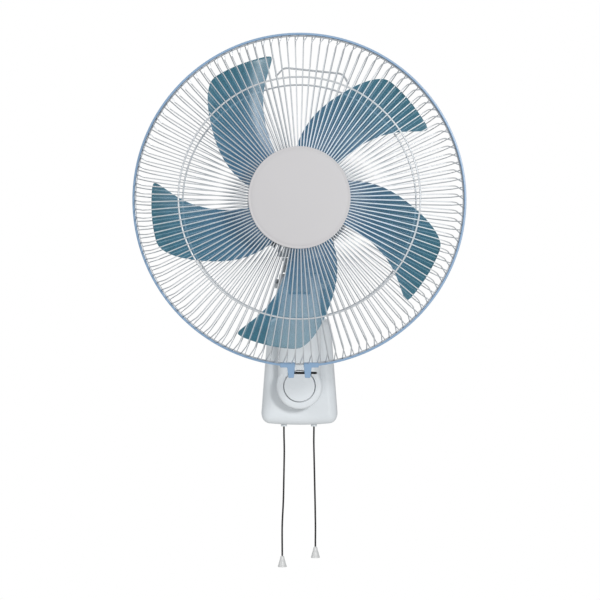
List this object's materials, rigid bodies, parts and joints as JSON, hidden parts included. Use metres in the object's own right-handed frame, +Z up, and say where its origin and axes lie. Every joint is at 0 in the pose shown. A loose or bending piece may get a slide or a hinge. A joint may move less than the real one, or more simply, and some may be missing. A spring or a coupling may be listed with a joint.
{
  "type": "wall mounted fan",
  "caption": "Fan that hangs on a wall: a base with a neck arm, a head that tilts and swings, a round wire guard with a clamp band, a translucent impeller and pull cords.",
  "frame": {"origin": "middle of the wall plate's back face, on the wall", "axes": "+Y into the wall, +Z up, +X to the right of someone who looks at the fan; the fan blows towards -Y"},
  "size_m": [0.45, 0.3466, 0.747],
  "materials": {
    "white_abs": "moulded ABS, satin",
    "grey_abs": "moulded ABS, matt",
    "blue_band": "moulded polypropylene, light blue",
    "blue_blade": "clear tinted AS plastic, polished",
    "wire_steel": "bright plated wire",
    "badge_silver": "satin silver",
    "zinc_steel": "zinc plated",
    "black_steel": "blackened",
    "die_cast": "as cast",
    "lamination": "stacked sheet",
    "copper": "enamelled winding",
    "bronze": "sintered bronze",
    "rubber": "moulded",
    "black_cord": "braided cord",
    "clear_plastic": "milky clear"
  },
  "bodies": {
    "base": {"wall_plate": "zinc_steel", "base_housing": "white_abs", "plate_screw_1": "zinc_steel", "plate_screw_2": "zinc_steel", "plate_screw_3": "zinc_steel", "plate_screw_4": "zinc_steel", "wire_grommet": "rubber", "motor_capacitor": "grey_abs", "terminal_block": "white_abs", "speed_switch": "grey_abs", "speed_eyelet": "white_abs", "swing_switch": "grey_abs", "swing_eyelet": "white_abs", "neck_arm": "white_abs", "neck_cap": "white_abs", "neck_bolt": "zinc_steel", "neck_washer": "zinc_steel", "neck_nut": "zinc_steel", "tilt_bolt": "zinc_steel", "tilt_nut": "zinc_steel"},
    "speed_pull": {"speed_slider": "white_abs", "speed_cord": "black_cord", "speed_bell": "clear_plastic"},
    "swing_pull": {"swing_slider": "white_abs", "swing_cord": "black_cord", "swing_bell": "clear_plastic"},
    "tilt_head": {"tilt_bracket": "die_cast", "swing_bolt": "zinc_steel", "swing_washer": "zinc_steel", "swing_nut": "zinc_steel"},
    "swing_link": {"swing_link": "zinc_steel"},
    "swing_head": {"motor_yoke": "zinc_steel", "swing_motor": "zinc_steel", "motor_front_bracket": "die_cast", "motor_rear_bracket": "die_cast", "stator_core": "lamination", "front_bearing": "bronze", "rear_bearing": "bronze", "motor_cover": "white_abs", "cover_screw": "zinc_steel", "front_coil": "copper", "rear_coil": "copper", "rear_guard": "wire_steel", "rear_hub_plate": "zinc_steel", "rear_guard_ring": "wire_steel", "rear_guard_nut": "grey_abs", "guard_handle": "wire_steel", "front_guard": "wire_steel", "front_hub_plate": "zinc_steel", "front_guard_ring": "wire_steel", "guard_band": "blue_band", "band_screw": "black_steel", "band_nut": "black_steel", "badge": "badge_silver"},
    "swing_crank": {"swing_crank": "white_abs"},
    "rotor": {"motor_shaft": "zinc_steel", "rotor_core": "lamination", "fan_blade": "blue_blade", "drive_pin": "zinc_steel", "blade_nut": "blue_blade"}
  },
  "joints": [
    {"name": "tilt", "type": "hinge", "parent": "base", "child": "tilt_head", "pos_m": [0, -0.122, 0.128], "axis": [1, 0, 0], "range_deg": [-15, 20]},
    {"name": "swing", "type": "hinge", "parent": "tilt_head", "child": "swing_head", "pos_m": [0, -0.146, 0.166], "axis": [0, 0, 1], "range_deg": [-40, 40]},
    {"name": "blade_spin", "type": "hinge", "parent": "swing_head", "child": "rotor", "pos_m": [0, -0.26, 0.24], "axis": [0, 1, 0], "continuous": true},
    {"name": "swing_crank_turn", "type": "hinge", "parent": "swing_head", "child": "swing_crank", "pos_m": [0, -0.114, 0.162], "axis": [0, 0, 1], "range_deg": [-40, 40]},
    {"name": "swing_link_turn", "type": "hinge", "parent": "tilt_head", "child": "swing_link", "pos_m": [-0.019, -0.146, 0.155], "axis": [0, 0, 1], "range_deg": [-40, 40]},
    {"name": "speed_pull", "type": "slide", "parent": "base", "child": "speed_pull", "axis": [0, 0, -1], "range_m": [0, 0.01], "stiffness_N_per_m": 400, "springref_m": -0.005},
    {"name": "swing_pull", "type": "slide", "parent": "base", "child": "swing_pull", "axis": [0, 0, -1], "range_m": [0, 0.01], "stiffness_N_per_m": 400, "springref_m": -0.005}
  ],
  "couplings": [
    {"joint": "swing_crank_turn", "follows": "swing", "ratio": -1},
    {"joint": "swing_link_turn", "follows": "swing", "ratio": 1}
  ]
}
